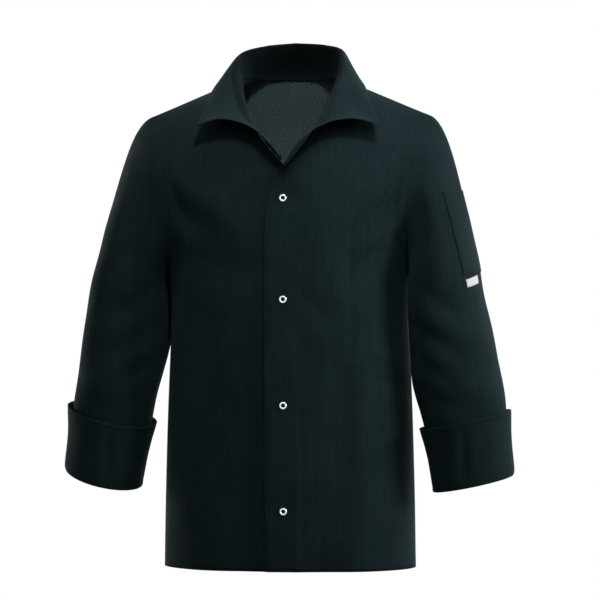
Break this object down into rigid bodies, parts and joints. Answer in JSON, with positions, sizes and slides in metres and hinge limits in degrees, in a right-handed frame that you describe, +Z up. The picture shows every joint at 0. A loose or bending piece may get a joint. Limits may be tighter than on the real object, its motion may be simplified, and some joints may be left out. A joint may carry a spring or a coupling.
{
  "type": "chef jacket",
  "caption": "Slim work jacket with a turned-down collar over a V neck, a lapped front closed by open-ring snaps, turned-back cuffs and a narrow pocket on one sleeve.",
  "frame": {"origin": "on the axis of the neck, level with the shoulders that carry the jacket", "axes": "+X to the wearer's left, the front faces -Y, +Z up from the hem to the collar"},
  "size_m": [0.6761, 0.2367, 0.7904],
  "materials": {
    "black_cloth": "fine black twill, slightly teal, with a soft sheen",
    "grey_knit": "dark grey ribbed knit inside, black outside",
    "white_tape": "plain white woven tape, bare",
    "silver_ring": "polished silver",
    "dark_metal": "darkened metal"
  },
  "bodies": {
    "root": {"front_left": "black_cloth", "front_right": "black_cloth", "sleeve_left": "black_cloth", "sleeve_right": "black_cloth", "cuff_left": "black_cloth", "cuff_right": "black_cloth", "collar": "black_cloth", "pen_pocket": "black_cloth", "back": "grey_knit", "label": "white_tape", "snap_1_ring": "silver_ring", "snap_1_socket": "dark_metal", "snap_1_post": "dark_metal", "snap_2_ring": "silver_ring", "snap_2_socket": "dark_metal", "snap_2_post": "dark_metal", "snap_3_ring": "silver_ring", "snap_3_socket": "dark_metal", "snap_3_post": "dark_metal", "snap_4_ring": "silver_ring", "snap_4_socket": "dark_metal", "snap_4_post": "dark_metal"}
  },
  "joints": []
}
